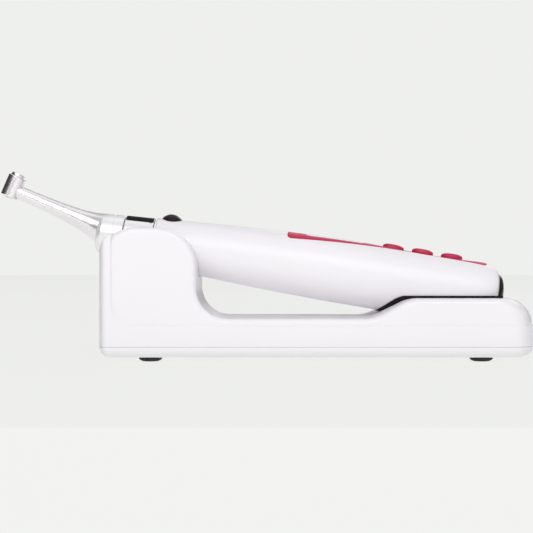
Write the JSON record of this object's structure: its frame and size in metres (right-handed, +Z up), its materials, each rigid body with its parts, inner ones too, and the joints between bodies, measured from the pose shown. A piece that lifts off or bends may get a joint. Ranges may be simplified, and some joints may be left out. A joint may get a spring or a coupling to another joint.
{
  "type": "endodontic motor",
  "caption": "Cordless dental handpiece with a slim angled head, resting tilted in a low charging dock with a notched tower and a troughed pad.",
  "frame": {"origin": "middle of the bounding box, on the surface that the dock's feet stand on", "axes": "+X from the contra-angle head to the tail of the handpiece, -Y the front face, +Z up"},
  "size_m": [0.2318, 0.06, 0.082],
  "materials": {
    "white_shell": "glossy white with a faint lavender cast",
    "crimson": "satin crimson",
    "black_plastic": "glossy black",
    "rubber": "matt black",
    "steel": "machined",
    "satin_metal": "satin to polished",
    "polished_metal": "polished, with a black band on top",
    "contact_gold": "gold plated",
    "board": "green solder resist",
    "cell_sleeve": "shrink sleeve",
    "window": "dark tinted, glossy",
    "light_lens": "translucent"
  },
  "bodies": {
    "dock": {"base_upper_shell": "white_shell", "tower_cradle": "white_shell", "base_bottom_cover": "white_shell", "foot_front_left": "rubber", "foot_front_right": "rubber", "foot_back_left": "rubber", "foot_back_right": "rubber", "cover_screw_front_left": "steel", "cover_screw_front_right": "steel", "cover_screw_back_left": "steel", "cover_screw_back_right": "steel", "charging_board": "board", "power_socket": "black_plastic", "contact_block": "black_plastic", "status_light": "light_lens"},
    "front_charge_pin": {"charge_pin_front": "contact_gold"},
    "back_charge_pin": {"charge_pin_back": "contact_gold"},
    "handpiece": {"casing_front_half": "white_shell", "casing_back_half": "white_shell", "nose_ring": "white_shell", "motor_nose": "steel", "nose_seal": "rubber", "gearhead": "steel", "motor_can": "steel", "motor_cradle": "black_plastic", "control_panel": "crimson", "display_window": "window", "display_module": "black_plastic", "main_board": "board", "battery_cell": "cell_sleeve", "battery_clip_front": "contact_gold", "battery_clip_rear": "contact_gold", "tail_insert": "black_plastic", "contact_pad_front": "contact_gold", "contact_pad_back": "contact_gold"},
    "motor_rotor": {"motor_shaft": "steel"},
    "start_button": {"main_button": "black_plastic"},
    "mode_key": {"key_mode": "crimson"},
    "down_key": {"key_down": "crimson"},
    "up_key": {"key_up": "crimson"},
    "contra_angle": {"angle_body": "satin_metal", "coupling_collar": "polished_metal", "drive_bearing": "steel", "neck_bearing": "steel", "head_bearing_lower": "steel", "head_bearing_upper": "steel", "cap_spring": "steel"},
    "drive_line": {"drive_shaft": "steel"},
    "neck_line": {"neck_shaft": "steel"},
    "chuck": {"chuck_spindle": "steel"},
    "release_cap": {"push_cap": "satin_metal"}
  },
  "joints": [
    {"name": "handpiece_lift", "type": "slide", "parent": "dock", "child": "handpiece", "axis": [0, 0, 1], "range_m": [0, 0.08]},
    {"name": "contra_angle_pull", "type": "slide", "parent": "handpiece", "child": "contra_angle", "axis": [-0.9877, 0, 0.1564], "range_m": [0, 0.022]},
    {"name": "motor_spin", "type": "hinge", "parent": "handpiece", "child": "motor_rotor", "pos_m": [-0.0489, 0, 0.0512], "axis": [0.9877, 0, -0.1564], "continuous": true},
    {"name": "drive_spin", "type": "hinge", "parent": "contra_angle", "child": "drive_line", "pos_m": [-0.06352, 0, 0.05352], "axis": [0.9877, 0, -0.1564], "continuous": true},
    {"name": "neck_spin", "type": "hinge", "parent": "contra_angle", "child": "neck_line", "pos_m": [-0.06352, 0, 0.05352], "axis": [0.9171, 0, -0.3987], "continuous": true},
    {"name": "chuck_spin", "type": "hinge", "parent": "contra_angle", "child": "chuck", "pos_m": [-0.11084, 0, 0.07409], "axis": [0.3987, 0, 0.9171], "continuous": true},
    {"name": "start_press", "type": "slide", "parent": "handpiece", "child": "start_button", "axis": [-0.1564, 0, -0.9877], "range_m": [0, 0.0006], "stiffness_N_per_m": 400, "springref_m": -0.0005},
    {"name": "mode_press", "type": "slide", "parent": "handpiece", "child": "mode_key", "axis": [-0.1564, 0, -0.9877], "range_m": [0, 0.0006], "stiffness_N_per_m": 400, "springref_m": -0.0005},
    {"name": "down_press", "type": "slide", "parent": "handpiece", "child": "down_key", "axis": [-0.1564, 0, -0.9877], "range_m": [0, 0.0006], "stiffness_N_per_m": 400, "springref_m": -0.0005},
    {"name": "up_press", "type": "slide", "parent": "handpiece", "child": "up_key", "axis": [-0.1564, 0, -0.9877], "range_m": [0, 0.0006], "stiffness_N_per_m": 400, "springref_m": -0.0005},
    {"name": "cap_press", "type": "slide", "parent": "contra_angle", "child": "release_cap", "axis": [-0.3987, 0, -0.9171], "range_m": [0, 0.0007], "stiffness_N_per_m": 400, "springref_m": -0.0005},
    {"name": "front_pin_press", "type": "slide", "parent": "dock", "child": "front_charge_pin", "axis": [0.9877, 0, -0.1564], "range_m": [0, 0.0009], "stiffness_N_per_m": 400, "springref_m": -0.0005},
    {"name": "back_pin_press", "type": "slide", "parent": "dock", "child": "back_charge_pin", "axis": [0.9877, 0, -0.1564], "range_m": [0, 0.0009], "stiffness_N_per_m": 400, "springref_m": -0.0005}
  ],
  "couplings": [
    {"joint": "drive_spin", "follows": "motor_spin", "ratio": 1},
    {"joint": "neck_spin", "follows": "motor_spin", "ratio": 1},
    {"joint": "chuck_spin", "follows": "motor_spin", "ratio": -0.5}
  ]
}
